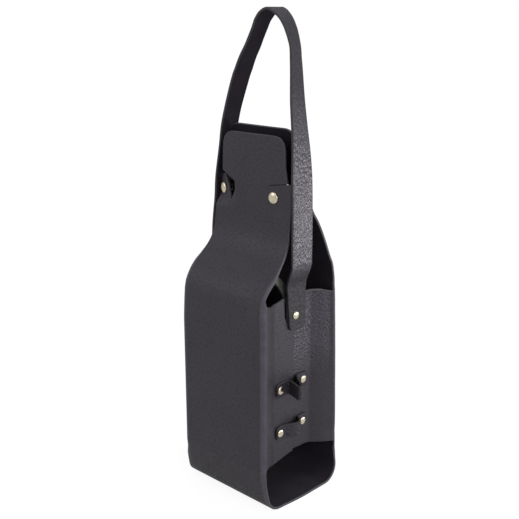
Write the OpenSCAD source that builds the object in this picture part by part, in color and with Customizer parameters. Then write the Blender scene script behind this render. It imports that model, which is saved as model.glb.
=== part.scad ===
// Leather bottle carrier, standing empty, with a riveted bail strap.
// Units are millimetres. Origin: middle of the base, +Z up.
// X runs across the front, -Y is the front, +Y the back.

/* [Carrier body] */
// Width across the folded front edges
body_w = 90.5; // [80:0.5:100]
// Depth from the front face to the back face
body_d = 81.5; // [74:0.5:88]
// Height of the front tongue's top edge above the base
front_h = 285; // [265:1:305]
// Outer radius of the rounded base in side view
base_r = 14.5; // [10:0.5:20]
// Thickness of the body and handle leather
leather_t = 2; // [1.6:0.1:2.4]
// How far the side panels are creased inwards
crease_depth = 12.85; // [9:0.05:14]

/* [Side panels] */
// Height of the side panels' bottom edge
wing_low_z = 37; // [30:1:45]
// Height of the side panels' top edge
wing_top_z = 165; // [150:1:170]
// Outer radius of the folds at the four upright edges
fold_r = 3; // [2.5:0.5:5]

/* [Neck] */
// How much narrower the neck is than the body, on each side
neck_inset = 6.25; // [4:0.25:9]
// How much narrower the two tongues are than the neck, on each side
tongue_inset = 5.5; // [3:0.5:8]
// Corner radius of the tongues
tongue_r = 10; // [6:1:14]
// Extra height of the back tongue
back_rise = 5; // [2:1:8]

/* [Handle] */
// Height of the handle's highest line above the front tongue
handle_bow = 89; // [60:1:110]
// Width of the handle strap at its ends
handle_w = 23; // [20:1:24]
// Width of the handle strap at the top
handle_top_w = 16; // [14:1:20]

/* [Corkscrew loops] */
// Width of the loop straps
loop_w = 11.5; // [9:0.5:13]
// Thickness of the loop leather
loop_t = 1.8; // [1.4:0.1:2]
// Height of the upper loop's rivets
loop_high_z = 93; // [88:1:98]
// Height of the lower loop's rivets
loop_low_z = 57; // [54:1:62]

/* [Fasteners] */
// Diameter of the rivet caps
rivet_d = 6.5; // [6:0.1:7]
// Diameter of the rivet shanks
shank_d = 3; // [2.6:0.1:3.2]
// Diameter of the press stud caps
snap_d = 8.5; // [8:0.1:9]

/* [Hidden] */
$fn = 48;

leather_c = [0.25, 0.24, 0.26];
suede_c = [0.12, 0.11, 0.12];
brass_c = [0.8, 0.72, 0.55];

// Clearances
layer_gap = 0.2;
seat_gap = 0.05;
bore_gap = 0.06;
hold_gap = 0.02;
slit_w = 1;
overlap = 0.4;

// Smoothing steps between the points of each curve
smooth_n = 4;
arc_n = 8;

half_w = body_w / 2;
half_d = body_d / 2;
half_t = leather_t / 2;
neck_half_w = half_w - neck_inset;
tongue_half_w = neck_half_w - tongue_inset;
back_h = front_h + back_rise;
handle_h = front_h + handle_bow;
neck_rise = front_h - wing_top_z;
snap_z = wing_top_z + neck_rise * 0.6167;

// Layers of the creased side, measured outwards from the middle plane
rear_face = half_w - crease_depth;
rear_x = rear_face - half_t;
rear_inner = rear_face - leather_t;
front_x = rear_face + layer_gap + half_t;
front_face = front_x + half_t;
strap_x = front_face + layer_gap + half_t;
strap_face = strap_x + half_t;

// Side view of the front sheet: share of its rise above the side panels, depth share of half_d
front_lean_shares = [[0, -0.975], [0.06, -0.938], [0.13, -0.812], [0.2, -0.602],
    [0.265, -0.421], [0.335, -0.306], [0.42, -0.254], [0.54, -0.238], [0.72, -0.226],
    [1.0, -0.178]];
// Side view of the back sheet: share of its rise above the bend line, depth share of half_d
back_lean_shares = [[0, 0.965], [0.1, 0.904], [0.2, 0.814], [0.31, 0.681], [0.4, 0.533],
    [0.47, 0.393], [0.54, 0.309], [0.63, 0.271], [0.73, 0.187], [0.85, 0.1065], [1.0, 0.03]];
bend_z = wing_top_z + leather_t * 3.5;
bend_y = half_d * back_lean_shares[0][1];

// Shoulder outline: share from wing height to snap height, share from full to neck half width
shoulder_shares = [[0.255, 0.26], [0.32, 0.48], [0.40, 0.72], [0.54, 0.95], [0.68, 1.0]];

// Crease in plan: share of the way from the fold to the flat, in depth and in width
crease_shares = [[0, 0], [0.33, 0.30], [0.62, 0.68], [0.82, 0.93], [0.975, 1.0]];
flat_half = half_d * 0.475;
wing_reach = handle_w * 0.35;
rear_reach = flat_half + leather_t;

// Handle in front view: share of the bow at each leg, or of the foot distance, and of the rise
leg_shares = [[0, 0.0048], [0.1146, 0.0513], [0.8985, 0.1095], [0.9935, 0.1608],
    [0.915, 0.3713], [0.5745, 0.5348]];
arch_shares = [[0.9944, 0.6935], [0.8894, 0.8709], [0.6693, 0.9561], [0.3355, 0.9974],
    [0.1145, 0.9937], [-0.019, 0.9706], [-0.0763, 0.9478], [-0.2151, 0.8873],
    [-0.4793, 0.8122], [-0.6416, 0.7524], [-0.9095, 0.6053]];
left_leg_shares = [[0.0196, 0.51], [0.6318, 0.3996], [0.7234, 0.3041], [0.856, 0.2106],
    [0.9149, 0.1196], [0.1097, 0.0503], [0, 0.0048]];
// The left leg leans back beside the neck: share of the strap's width, share of its rise
lean_shares = [[0, 0.09], [0.055, 0.24], [0.115, 0.34], [0.122, 0.45], [0.085, 0.55],
    [0.02, 0.66], [0, 0.74]];
handle_spread = half_w * 0.145;

// Heights and lengths that follow from the sizes above
wing_front_top = wing_top_z + leather_t * 2;
wing_back_low = wing_low_z - leather_t * 2.25;
ear_root = neck_half_w * 0.45;
ear_low = snap_z - snap_d * 0.86;
ear_high = snap_z + snap_d * 0.78;
ear_tip_high = snap_z + snap_d * 1.35;
pivot_z = wing_top_z - handle_w * 0.652;
strap_end_z = pivot_z - handle_w * 0.52;
strap_end_r = handle_w * 0.32;

// Rivet proportions
rivet_r = rivet_d / 2;
shank_r = shank_d / 2;
cap_h = rivet_d * 0.2;
head_h = rivet_d * 0.13;
cap_top_r = rivet_r * 0.6;
shank_in_cap = cap_h * 0.5;

// Press stud proportions
snap_r = snap_d / 2;
snap_cap_h = snap_d * 0.22;
snap_top_r = snap_r * 0.62;
barrel_r = snap_d * 0.17;
socket_r = snap_r * 0.94;
socket_h = snap_d * 0.27;
socket_wall = socket_h * 0.24;
cavity_r = snap_r * 0.62;
stud_base_r = snap_r * 0.88;
stud_base_h = snap_d * 0.1;
stud_head_r = snap_r * 0.52;
stud_head_h = socket_h * 0.35;
stud_tip_r = stud_head_r * 0.7;
post_head_h = snap_d * 0.1;
post_r = snap_d * 0.13;

// Press stud positions: the left ear is drawn in further than the right one
snap_x_right = neck_half_w * 0.615;
snap_x_left = neck_half_w * 0.846;
ear_y_right = half_d * -0.230;
ear_y_left = half_d * -0.090;
stack_y = half_t + seat_gap + socket_h + layer_gap / 2 + stud_base_h + seat_gap + half_t;
flange_y_right = ear_y_right + stack_y;
flange_y_left = ear_y_left + stack_y;
left_reach = neck_half_w - half_t * 1.1;
hinge_x = ear_root + half_t;
ear_bend_r = leather_t * 0.8;
hinge_y = half_d * 0.26;
web_root_y = half_d * 0.42;

// Loop rivet positions in depth
loop_front_y = half_d * -0.39;
loop_rear_y = half_d * 0.3125;

function unit(v) = v / norm(v);
function way(p, i) = i == 0 ? unit(p[1] - p[0])
    : i == len(p) - 1 ? unit(p[i] - p[i - 1])
    : unit(unit(p[i] - p[i - 1]) + unit(p[i + 1] - p[i]));
function beside(p, h) = [for (i = [0 : len(p) - 1]) p[i] + h * [-way(p, i)[1], way(p, i)[0]]];
function back_to_front(p) = [for (i = [len(p) - 1 : -1 : 0]) p[i]];
function mirrored(p, s) = [for (q = p) [s * q[0], q[1]]];
function arc(c, r, a, b, n) = [for (i = [0 : n])
    c + r * [cos(a + (b - a) * i / n), sin(a + (b - a) * i / n)]];
function tidy(p) = [for (i = [0 : len(p) - 1])
    if (norm(p[i] - p[(i + len(p) - 1) % len(p)]) > seat_gap) p[i]];
function knot(p, i) = p[min(max(i, 0), len(p) - 1)];
function ease(p, i, u) = 0.5 * (2 * knot(p, i) + (knot(p, i + 1) - knot(p, i - 1)) * u
    + (2 * knot(p, i - 1) - 5 * knot(p, i) + 4 * knot(p, i + 1) - knot(p, i + 2)) * u * u
    + (3 * knot(p, i) - knot(p, i - 1) - 3 * knot(p, i + 1) + knot(p, i + 2)) * u * u * u);
function curve(p, n) = concat([for (i = [0 : len(p) - 2]) for (k = [0 : n - 1]) ease(p, i, k / n)],
    [p[len(p) - 1]]);

// A bent sheet seen edge on: the path is its middle line
module sheet(path, t) {
    line = tidy(path);
    polygon(concat(beside(line, t / 2), back_to_front(beside(line, -t / 2))));
}
// Drawn in Y and Z, pushed out along X about the middle
module across(w) {
    translate([-w / 2, 0, 0]) rotate([90, 0, 90]) linear_extrude(height = w) children();
}
// Drawn in Y and Z, between two X values
module between_x(a, b) {
    translate([a, 0, 0]) rotate([90, 0, 90]) linear_extrude(height = b - a) children();
}
// Drawn in X and Z, between two Y values
module between_y(a, b) {
    translate([0, b, 0]) rotate([90, 0, 0]) linear_extrude(height = b - a) children();
}
// Drawn in X and Y, between two heights
module between_z(a, b) {
    translate([0, 0, a]) linear_extrude(height = b - a) children();
}

// Middle lines in side view
front_line = [for (s = front_lean_shares) [half_d * s[1], wing_top_z + neck_rise * s[0]]];
back_line = [for (s = back_lean_shares) [half_d * s[1], bend_z + (back_h - bend_z) * s[0]]];
corner_r = base_r - half_t;
trough_line = concat(back_to_front(curve(front_line, smooth_n)),
    arc([base_r - half_d, base_r], corner_r, 180, 270, arc_n),
    arc([half_d - base_r, base_r], corner_r, 270, 360, arc_n),
    [[half_d - half_t, wing_top_z - base_r / 2], [bend_y, bend_z]]);
root_dir = unit([bend_y - half_d + half_t, bend_z - wing_top_z + base_r / 2]);
flap_start = back_line[0] + root_dir * half_t * 1.5;
flap_line = concat([[bend_y, bend_z]],
    curve([for (i = [0 : len(back_line) - 1]) i == 0 ? flap_start : back_line[i]], smooth_n));

// Shoulder half widths from the side panels up to the neck
shoulder_pts = [for (s = shoulder_shares) [half_w - (half_w - neck_half_w) * s[1],
    wing_top_z + (snap_z - wing_top_z) * s[0]]];

function tongue_pts(top, low) = concat([[tongue_half_w, low]],
    arc([tongue_half_w - tongue_r, top - tongue_r], tongue_r, 0, 90, arc_n));

// Outline of the front sheet, right half
front_half = concat([[half_w, -base_r], [half_w, wing_low_z],
    [half_w - fold_r + overlap, wing_low_z], [half_w - fold_r + overlap, wing_front_top],
    [half_w - fold_r * 0.5, wing_front_top]], shoulder_pts,
    [[neck_half_w, ear_low - slit_w * 1.3], [ear_root, ear_low - slit_w * 0.6],
    [ear_root, ear_high], [neck_half_w * 0.72, ear_high + slit_w * 1.6]],
    tongue_pts(front_h, ear_high + slit_w * 3.6));
// Outline of the back sheet below its bend line, right half
back_half = [[half_w, -base_r], [half_w, wing_back_low],
    [half_w - fold_r + overlap, wing_back_low], [half_w - fold_r + overlap, wing_top_z],
    [half_w - fold_r * 0.5, wing_top_z], [half_w - fold_r * 0.5, bend_z]];
// Outline of the back flap, right half
flap_half = concat([[half_w - fold_r * 0.5, bend_z - leather_t], [half_w - fold_r * 0.5, bend_z]],
    shoulder_pts,
    [[neck_half_w, ear_low - slit_w], [ear_root + overlap, ear_low - slit_w],
    [ear_root + overlap, ear_high + slit_w]],
    tongue_pts(back_h, ear_high + slit_w));

module both_halves(p) {
    polygon(concat(p, back_to_front(mirrored(p, -1))));
}

// Plan view of a folded and creased side wing: end is the far edge in depth
fold_c = half_d - fold_r;
function wing_line(flat_x, end_y) = concat(
    [[half_w - fold_r - overlap, half_d - half_t]],
    arc([half_w - fold_r, half_d - fold_r], fold_r - half_t, 90, 0, arc_n),
    curve([for (s = crease_shares) [half_w - half_t - (half_w - half_t - flat_x) * s[1],
        fold_c - (fold_c - flat_half) * s[0]]], smooth_n),
    [[flat_x, end_y]]);

// Side view outlines of the two wings, drawn in Y and Z
module front_wing_outline() {
    difference() {
        polygon([[-half_d - half_t, wing_low_z], [half_t * 0.7, wing_low_z],
            [half_t * 0.7, strap_end_z - half_t], [handle_w * 0.26, strap_end_z + strap_end_r],
            [handle_w * 0.26, wing_top_z], [-handle_w * 0.5, wing_top_z],
            [-half_d - half_t, wing_front_top]]);
        // Narrow slit beside the strap
        polygon([[-handle_w * 0.585, wing_top_z + leather_t], [-handle_w * 0.508, wing_top_z + leather_t],
            [-handle_w * 0.508, pivot_z - strap_end_r], [-handle_w * 0.53, pivot_z - strap_end_r]]);
    }
}
module rear_wing_outline() {
    polygon([[half_d + half_t, wing_back_low], [half_t, wing_low_z], [-flat_half - half_t / 2, wing_low_z],
        [-flat_half - half_t / 2, strap_end_z - leather_t * 2], [-handle_w * 0.17, strap_end_z - leather_t],
        [-handle_w * 0.17, wing_top_z], [half_d * 0.7, wing_top_z - half_t / 2],
        [half_d + half_t, wing_top_z - leather_t * 1.2]]);
}

// Front ears: plan lines of the right and left one
right_ear_line = [[ear_root - overlap, half_d * -0.235], [ear_root + leather_t, half_d * -0.231],
    [ear_root + leather_t * 2, ear_y_right], [neck_half_w, ear_y_right]];
left_ear_shares = [[0, 1], [0.17, 0.965], [0.35, 0.83], [0.51, 0.59], [0.66, 0.31], [0.83, 0.10],
    [0.96, 0]];
left_ear_line = concat(curve([for (q = left_ear_shares) [-ear_root + overlap - (ear_root * 0.69) * q[0],
    ear_y_left + (half_d * -0.235 - ear_y_left) * q[1]]], smooth_n), [[-neck_half_w, ear_y_left]]);
module ear_outline(s, reach) {
    polygon(mirrored([[ear_root - overlap, ear_low], [reach - leather_t, ear_low - slit_w * 0.5],
        [reach, ear_low + leather_t * 0.6], [reach, ear_tip_high - leather_t * 0.6],
        [reach - half_t, ear_tip_high], [neck_half_w * 0.72, ear_high + slit_w * 0.5],
        [ear_root - overlap, ear_high - slit_w]], s));
}

// A straight round pin or hole along X on the given side
module pin_x(s, a, b, r, y, z) {
    translate([s > 0 ? a : -b, y, z]) rotate([0, 90, 0]) cylinder(r = r, h = b - a);
}
// The same along Y
module pin_y(a, b, r, x, z) {
    translate([x, b, z]) rotate([90, 0, 0]) cylinder(r = r, h = b - a);
}

module main_panel() color(leather_c) {
    difference() {
        union() {
            intersection() {
                across(body_w) sheet(trough_line, leather_t);
                union() {
                    between_y(-body_d, 0) both_halves(front_half);
                    between_y(0, body_d) both_halves(back_half);
                }
            }
            for (s = [-1, 1]) {
                intersection() {
                    between_z(0, front_h)
                        sheet([for (q = wing_line(front_x, -wing_reach)) [s * q[0], -q[1]]], leather_t);
                    across(body_w * 2) front_wing_outline();
                }
                intersection() {
                    between_z(0, front_h)
                        sheet([for (q = wing_line(rear_x, -rear_reach)) [s * q[0], q[1]]], leather_t);
                    across(body_w * 2) rear_wing_outline();
                }
            }
            intersection() {
                between_z(0, front_h) sheet(right_ear_line, leather_t);
                between_y(-half_d, 0) ear_outline(1, neck_half_w);
            }
            intersection() {
                between_z(0, front_h) sheet(left_ear_line, leather_t);
                between_y(-half_d, 0) ear_outline(-1, left_reach);
            }
        }
        for (s = [-1, 1]) {
            pin_x(s, rear_inner / 2, half_w, shank_r + hold_gap, 0, pivot_z);
            for (z = [loop_high_z, loop_low_z]) {
                pin_x(s, rear_inner / 2, half_w, shank_r + hold_gap, loop_front_y, z);
            }
        }
        for (z = [loop_high_z, loop_low_z]) {
            pin_x(1, rear_inner / 2, half_w, shank_r + hold_gap, loop_rear_y, z);
        }
        pin_y(-half_d, 0, barrel_r + hold_gap, snap_x_right, snap_z);
        pin_y(-half_d, half_t, barrel_r + hold_gap, -snap_x_left, snap_z);
    }
}

// The back ears: a web runs forward from the flap, and the ear itself folds off its end
right_cut_y = flange_y_right + ear_bend_r * 1.2;
left_cut_x = snap_x_left - stud_base_r - half_t * 0.85;
left_web_shares = [[0, 1], [0.03, 0.83], [0.15, 0.66], [0.31, 0.50], [0.485, 0.34], [0.66, 0.19],
    [0.80, 0.08], [0.92, 0]];
module back_flap() color(leather_c) {
    intersection() {
        across(body_w) sheet(flap_line, leather_t);
        between_y(-half_d, body_d) both_halves(flap_half);
    }
    intersection() {
        between_z(ear_low, ear_high) webs();
        across(body_w) polygon(concat([[-half_d, bend_z]], flap_line, [[-half_d, back_h]]));
    }
}
module webs() {
    sheet([[hinge_x, web_root_y], [hinge_x, right_cut_y]], leather_t);
    sheet(concat([[-hinge_x, web_root_y]],
        curve([for (q = left_web_shares) [-hinge_x - (left_cut_x - hinge_x) * q[0],
            flange_y_left + (hinge_y - flange_y_left) * q[1]]], smooth_n),
        [[-left_cut_x, flange_y_left]]), leather_t);
}
module right_neck_ear() color(leather_c) {
    difference() {
        between_z(ear_low, ear_high) sheet(concat([[hinge_x, right_cut_y]],
            arc([hinge_x + ear_bend_r, flange_y_right + ear_bend_r], ear_bend_r, 180, 270, arc_n),
            [[snap_x_right + stud_base_r + leather_t, flange_y_right]]), leather_t);
        pin_y(-half_d, half_d, post_r + hold_gap, snap_x_right, snap_z);
    }
}
module left_neck_ear() color(leather_c) {
    difference() {
        between_z(ear_low, ear_high)
            sheet([[-left_cut_x, flange_y_left], [-left_reach, flange_y_left]], leather_t);
        pin_y(-half_d, half_d, post_r + hold_gap, -snap_x_left, snap_z);
    }
}

// Handle: one strap from the right side panel over to the left one
handle_rise = handle_h - half_t - wing_top_z;
handle_line = concat(
    [[strap_x, strap_end_z]],
    curve(concat(
        [for (s = leg_shares) [strap_x + handle_spread * s[0], wing_top_z + handle_rise * s[1]]],
        [for (s = arch_shares) [strap_x * s[0], wing_top_z + handle_rise * s[1]]],
        [for (s = left_leg_shares) [-strap_x - handle_spread * s[0], wing_top_z + handle_rise * s[1]]]),
        smooth_n),
    [[-strap_x, strap_end_z]]);
function strap_half(z) = z < low_taper ? handle_w / 2
    : z > high_taper ? handle_top_w / 2
    : handle_w / 2 - (handle_w - handle_top_w) / 2 * (z - low_taper) / (high_taper - low_taper);
low_taper = wing_top_z + handle_rise * 0.4;
high_taper = wing_top_z + handle_rise * 0.9;
lean_line = concat([[0, strap_end_z + strap_end_r]],
    [for (q = curve(lean_shares, smooth_n)) [handle_w * q[0], wing_top_z + handle_rise * q[1]]],
    [[0, high_taper], [0, handle_h + leather_t]]);
straight_line = [[0, strap_end_z + strap_end_r], [0, low_taper], [0, high_taper],
    [0, handle_h + leather_t]];
module strap_outline(line) {
    half = handle_w / 2;
    for (s = [-1, 1]) {
        translate([s * (half - strap_end_r), strap_end_z + strap_end_r]) circle(r = strap_end_r);
    }
    polygon([[-half + strap_end_r, strap_end_z], [half - strap_end_r, strap_end_z],
        for (q = line) [q[0] + strap_half(q[1]), q[1]],
        for (q = back_to_front(line)) [q[0] - strap_half(q[1]), q[1]]]);
}
module handle_strap() color(leather_c) {
    difference() {
        intersection() {
            between_y(-handle_w, handle_w) sheet(handle_line, leather_t);
            union() {
                between_x(0, body_w) strap_outline(straight_line);
                between_x(-body_w, 0) strap_outline(lean_line);
            }
        }
        for (s = [-1, 1]) {
            pin_x(s, strap_x - leather_t, strap_x + leather_t, shank_r + bore_gap, 0, pivot_z);
        }
    }
}

// Inner stays: from the front shoulder down to the handle rivets
stay_t = leather_t * 0.9;
stay_w = handle_w * 0.37;
stay_x = rear_inner - seat_gap - stay_t / 2;
stay_side_shares = [[-0.70, 0.6632], [-0.60, 0.6470], [-0.30, 0.6205], [-0.125, 0.5895],
    [-0.025, 0.5544], [0, 0.5265], [0, 0.5053]];
stay_plan_shares = [[1.04, -0.80], [0.90, -0.68], [0.60, -0.55], [0.28, -0.42], [0.06, -0.28],
    [0, -0.15]];
module stay(s) {
    difference() {
        intersection() {
            between_z(0, front_h) sheet([for (q = concat(curve(stay_plan_shares, smooth_n), [[0, 0.14]]))
                [s * (stay_x + (half_w - leather_t * 2 - stay_x) * q[0]), half_d * q[1]]], stay_t);
            across(body_w * 2) difference() {
                sheet([for (q = curve(stay_side_shares, smooth_n)) [half_d * q[0], front_h * q[1]]], stay_w);
                sheet(curve(front_line, smooth_n), leather_t + seat_gap * 2);
                polygon([[-body_d, wing_top_z], [-half_d * 0.975, wing_top_z],
                    for (q = curve(front_line, smooth_n)) q, [-body_d, front_h]]);
            }
        }
        pin_x(s, rear_inner / 2, half_w, shank_r + hold_gap, 0, pivot_z);
    }
}
module left_stay() color(leather_c) stay(-1);
module right_stay() color(leather_c) stay(1);

// Corkscrew loops on the right side
foot_front_x = front_face + seat_gap + loop_t / 2;
foot_rear_x = rear_face + seat_gap + loop_t / 2;
loop_reach = half_w * 0.35;
loop_bend_r = loop_t * 0.85;
loop_tip_r = loop_t * 0.7;
// Angles of the upper loop's bends: end of the first, start and end of the tip
loop_bend_end = 82;
loop_tip_start = -108;
loop_tip_end = 52;
function loop_pt(q) = [foot_front_x + loop_reach * q[0], half_d * q[1]];
upper_plan = tidy(concat([[foot_front_x, half_d * -0.485]],
    arc([foot_front_x + loop_bend_r, half_d * -0.19], loop_bend_r, 180, loop_bend_end, arc_n),
    [loop_pt([0.48, -0.190])],
    arc(loop_pt([0.885, -0.215]), loop_tip_r, loop_tip_start, loop_tip_end, arc_n),
    [for (q = [[0.85, -0.160], [0.63, -0.090], [0.41, -0.030], [0.20, 0.030], [0.02, 0.090]])
        loop_pt(q)],
    [[foot_rear_x + loop_t * 0.35, half_d * 0.140], [foot_rear_x + loop_t * 0.08, half_d * 0.175],
        [foot_rear_x, half_d * 0.210], [foot_rear_x, half_d * 0.46]]));
lower_plan = tidy(concat([[foot_front_x, half_d * -0.485]],
    curve([loop_pt([0, -0.31]), loop_pt([0.03, -0.26]), loop_pt([0.15, -0.18]), loop_pt([0.27, -0.09]),
        loop_pt([0.32, 0]), loop_pt([0.26, 0.075]), loop_pt([0.10, 0.130]), loop_pt([-0.05, 0.175]),
        [foot_rear_x + loop_t * 0.10, half_d * 0.205], [foot_rear_x, half_d * 0.230]], smooth_n),
    [[foot_rear_x, half_d * 0.46]]));
module loop(plan, z) {
    difference() {
        between_z(z - loop_w / 2, z + loop_w / 2) sheet(plan, loop_t);
        for (y = [loop_front_y, loop_rear_y]) {
            pin_x(1, rear_inner, half_w, shank_r + hold_gap, y, z);
        }
    }
}
module upper_loop() color(leather_c) loop(upper_plan, loop_high_z);
module lower_loop() color(leather_c) loop(lower_plan, loop_low_z);

// Rivet cap: seat is the face it sits on, top is where the shank ends inside it
module rivet_cap(s, seat, y, z) {
    difference() {
        union() {
            pin_x(s, seat, seat + cap_h * 0.55, rivet_r, y, z);
            translate([s * (seat + cap_h * 0.55), y, z]) rotate([0, s * 90, 0])
                cylinder(r1 = rivet_r, r2 = cap_top_r, h = cap_h * 0.45);
        }
        pin_x(s, seat - cap_h, seat + shank_in_cap + seat_gap, shank_r + hold_gap, y, z);
    }
}
// Rivet post: head inside the carrier, shank out to the cap
module rivet_post(s, inner, seat, y, z) {
    pin_x(s, inner - head_h, inner, rivet_r, y, z);
    pin_x(s, inner - head_h / 2, seat + shank_in_cap, shank_r, y, z);
}

wing_in = rear_inner - seat_gap;
stay_in = stay_x - stay_t / 2 - seat_gap;
handle_seat = strap_face + layer_gap / 2;
loop_front_seat = foot_front_x + loop_t / 2 + seat_gap;
loop_rear_seat = foot_rear_x + loop_t / 2 + seat_gap;
side_seat = front_face + seat_gap;

module handle_rivet_caps() color(brass_c) {
    for (s = [-1, 1]) rivet_cap(s, handle_seat, 0, pivot_z);
}
module handle_rivet_posts() color(brass_c) {
    for (s = [-1, 1]) rivet_post(s, stay_in, handle_seat, 0, pivot_z);
}
module loop_rivet_caps() color(brass_c) {
    for (z = [loop_high_z, loop_low_z]) {
        rivet_cap(1, loop_front_seat, loop_front_y, z);
        rivet_cap(1, loop_rear_seat, loop_rear_y, z);
    }
}
module loop_rivet_posts() color(brass_c) {
    for (z = [loop_high_z, loop_low_z]) {
        rivet_post(1, wing_in, loop_front_seat, loop_front_y, z);
        rivet_post(1, wing_in, loop_rear_seat, loop_rear_y, z);
    }
}
module side_rivet_caps() color(brass_c) {
    for (z = [loop_high_z, loop_low_z]) rivet_cap(-1, side_seat, loop_front_y, z);
}
module side_rivet_posts() color(brass_c) {
    for (z = [loop_high_z, loop_low_z]) rivet_post(-1, wing_in, side_seat, loop_front_y, z);
}

// Press studs: cap and socket on the front ears, stud and post on the back ears
module snap_cap(x, y) {
    face = y - half_t - seat_gap;
    pin_y(face - snap_cap_h * 0.45, face, snap_r, x, snap_z);
    translate([x, face - snap_cap_h * 0.45, snap_z]) rotate([90, 0, 0])
        cylinder(r1 = snap_r, r2 = snap_top_r, h = snap_cap_h * 0.55);
    pin_y(face - snap_cap_h * 0.3, y + half_t + seat_gap + socket_wall, barrel_r, x, snap_z);
}
module snap_socket(x, y) {
    face = y + half_t + seat_gap;
    difference() {
        pin_y(face, face + socket_h, socket_r, x, snap_z);
        pin_y(face - socket_wall, face + socket_wall * 2, barrel_r + hold_gap, x, snap_z);
        pin_y(face + socket_wall, face + socket_h + socket_wall, cavity_r, x, snap_z);
    }
}
module snap_stud(x, y) {
    face = y - half_t - seat_gap;
    difference() {
        union() {
            pin_y(face - stud_base_h, face, stud_base_r, x, snap_z);
            pin_y(face - stud_base_h - stud_head_h * 0.4, face, stud_head_r, x, snap_z);
            translate([x, face - stud_base_h - stud_head_h * 0.4, snap_z]) rotate([90, 0, 0])
                cylinder(r1 = stud_head_r, r2 = stud_tip_r, h = stud_head_h * 0.6);
        }
        pin_y(face - body_d, face + leather_t, post_r + hold_gap, x, snap_z);
    }
}
module snap_post(x, y) {
    face = y + half_t + seat_gap;
    pin_y(face, face + post_head_h, stud_base_r, x, snap_z);
    pin_y(y - half_t - seat_gap - stud_base_h, face + post_head_h / 2, post_r, x, snap_z);
}
module snap_caps() color(brass_c) {
    snap_cap(snap_x_right, ear_y_right);
    snap_cap(-snap_x_left, ear_y_left);
}
module snap_sockets() color(brass_c) {
    snap_socket(snap_x_right, ear_y_right);
    snap_socket(-snap_x_left, ear_y_left);
}
module left_snap_stud() color(brass_c) snap_stud(-snap_x_left, flange_y_left);
module right_snap_stud() color(brass_c) snap_stud(snap_x_right, flange_y_right);
module left_snap_post() color(brass_c) snap_post(-snap_x_left, flange_y_left);
module right_snap_post() color(brass_c) snap_post(snap_x_right, flange_y_right);

main_panel();
back_flap();
left_neck_ear();
right_neck_ear();
handle_strap();
left_stay();
right_stay();
upper_loop();
lower_loop();
handle_rivet_caps();
handle_rivet_posts();
loop_rivet_caps();
loop_rivet_posts();
side_rivet_caps();
side_rivet_posts();
snap_caps();
snap_sockets();
left_snap_stud();
right_snap_stud();
left_snap_post();
right_snap_post();
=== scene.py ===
import math
import bpy
import numpy as np
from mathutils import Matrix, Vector
from mathutils.geometry import delaunay_2d_cdt


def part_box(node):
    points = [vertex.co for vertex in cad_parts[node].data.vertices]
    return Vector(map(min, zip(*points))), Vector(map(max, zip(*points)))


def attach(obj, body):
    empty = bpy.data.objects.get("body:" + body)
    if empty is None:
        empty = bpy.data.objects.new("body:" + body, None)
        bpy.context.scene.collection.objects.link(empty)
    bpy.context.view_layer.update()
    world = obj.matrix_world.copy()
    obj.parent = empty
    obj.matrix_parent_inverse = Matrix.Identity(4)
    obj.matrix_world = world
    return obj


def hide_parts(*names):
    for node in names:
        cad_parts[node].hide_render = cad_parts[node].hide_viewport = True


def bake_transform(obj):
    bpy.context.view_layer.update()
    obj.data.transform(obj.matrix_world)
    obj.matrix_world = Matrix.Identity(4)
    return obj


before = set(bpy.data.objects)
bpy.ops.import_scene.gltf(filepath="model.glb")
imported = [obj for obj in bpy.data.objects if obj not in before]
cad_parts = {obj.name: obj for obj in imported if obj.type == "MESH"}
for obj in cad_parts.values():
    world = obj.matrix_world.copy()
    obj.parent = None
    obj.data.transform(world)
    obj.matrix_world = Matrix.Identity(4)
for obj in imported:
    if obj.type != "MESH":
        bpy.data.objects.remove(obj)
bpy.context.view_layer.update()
scene = bpy.context.scene

# Leather bottle carrier. Every leather piece is cut as a flat pattern and bent into place.
# All lengths below are millimetres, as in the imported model, and each mesh is written in metres.
MM = 0.001


def node_box(name):
    """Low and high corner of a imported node."""
    low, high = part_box(name)
    return np.array(low) / MM, np.array(high) / MM


HALF_W, HALF_D, FRONT_H = node_box("main_panel")[1]
BACK_H = node_box("back_flap")[1][2]
HANDLE_H = node_box("handle_strap")[1][2]

LEATHER = 2.0
HALF_T = LEATHER / 2
BASE_R = 14.5
FOLD_R = 3.0
WING_LOW = 37.0
WING_TOP = 165.0
NECK_W = HALF_W - 6.25
TONGUE_W = NECK_W - 5.5
TONGUE_R = 10.0
NECK_RISE = FRONT_H - WING_TOP
SNAP_Z = WING_TOP + NECK_RISE * 0.6167
SNAP_D = 8.5
HANDLE_W = 23.0
LOOP_W = 11.5
LOOP_T = 1.8
RIVET_D = 6.5
LAYER_GAP = 0.2
SEAT_GAP = 0.05

REAR_FACE = HALF_W - 12.85
REAR_X = REAR_FACE - HALF_T
FRONT_X = REAR_FACE + LAYER_GAP + HALF_T
FRONT_FACE = FRONT_X + HALF_T
STRAP_X = FRONT_FACE + LAYER_GAP + HALF_T
FLAT_HALF = HALF_D * 0.475
BEND_Z = WING_TOP + LEATHER * 3.5
WING_FRONT_TOP = WING_TOP + LEATHER * 2
WING_BACK_LOW = WING_LOW - LEATHER * 2.25
SHOULDER_U = HALF_W - FOLD_R * 0.5
PIVOT_Z = WING_TOP - HANDLE_W * 0.652
STRAP_END_Z = PIVOT_Z - HANDLE_W * 0.52
STRAP_END_R = HANDLE_W * 0.32
EAR_ROOT = NECK_W * 0.45
EAR_LOW = SNAP_Z - SNAP_D * 0.86
EAR_HIGH = SNAP_Z + SNAP_D * 0.78
SLIT = 1.0
EAR_Y_RIGHT = HALF_D * -0.23
EAR_Y_LEFT = HALF_D * -0.09
SNAP_X_RIGHT = NECK_W * 0.615
SNAP_X_LEFT = NECK_W * 0.846
FLANGE_BACK = 5.345     # from the middle of a front ear to that of its back ear
FLANGE_Y_RIGHT = EAR_Y_RIGHT + FLANGE_BACK
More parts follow.
